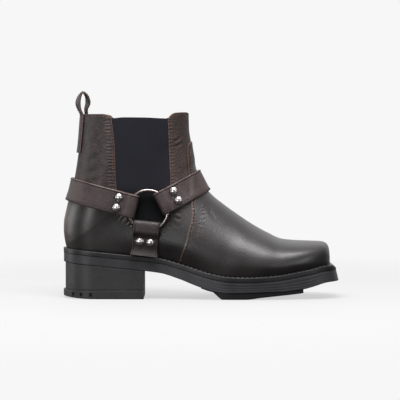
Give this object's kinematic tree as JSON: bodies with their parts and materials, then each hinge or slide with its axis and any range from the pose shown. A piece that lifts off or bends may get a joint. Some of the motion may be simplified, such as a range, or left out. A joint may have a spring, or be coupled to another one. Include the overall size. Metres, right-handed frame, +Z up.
{
  "type": "harness ankle boot",
  "caption": "Right ankle boot of dark brown leather with elastic sides, harness straps on rings, square toe and block heel.",
  "frame": {"origin": "middle of the bounding box's underside, on the floor", "axes": "+X to the toe, +Y to the wearer's left (the inner side of this right boot), +Z up"},
  "size_m": [0.305, 0.106, 0.228],
  "materials": {
    "leather": "smooth pull-up leather, satin",
    "strap": "grained leather, low sheen",
    "elastic": "ribbed elastic, matte",
    "rubber": "moulded rubber, satin",
    "welt": "satin with stitches",
    "lining": "lining leather, matte",
    "nickel": "polished dark nickel"
  },
  "bodies": {
    "root": {"outsole": "rubber", "heel_block": "rubber", "heel_toplift": "rubber", "welt": "welt", "insole": "lining", "upper": "leather", "gore_lateral": "elastic", "gore_medial": "elastic", "pull_loop": "strap", "strap_rear": "strap", "strap_front": "strap", "strap_low_lateral": "strap", "strap_low_medial": "strap", "ring_lateral": "nickel", "ring_medial": "nickel", "rivet_rear_lateral_1": "nickel", "rivet_rear_lateral_2": "nickel", "rivet_front_lateral_1": "nickel", "rivet_front_lateral_2": "nickel", "rivet_low_lateral_1": "nickel", "rivet_low_lateral_2": "nickel", "rivet_rear_medial_1": "nickel", "rivet_rear_medial_2": "nickel", "rivet_front_medial_1": "nickel", "rivet_front_medial_2": "nickel", "rivet_low_medial_1": "nickel", "rivet_low_medial_2": "nickel"}
  },
  "joints": []
}
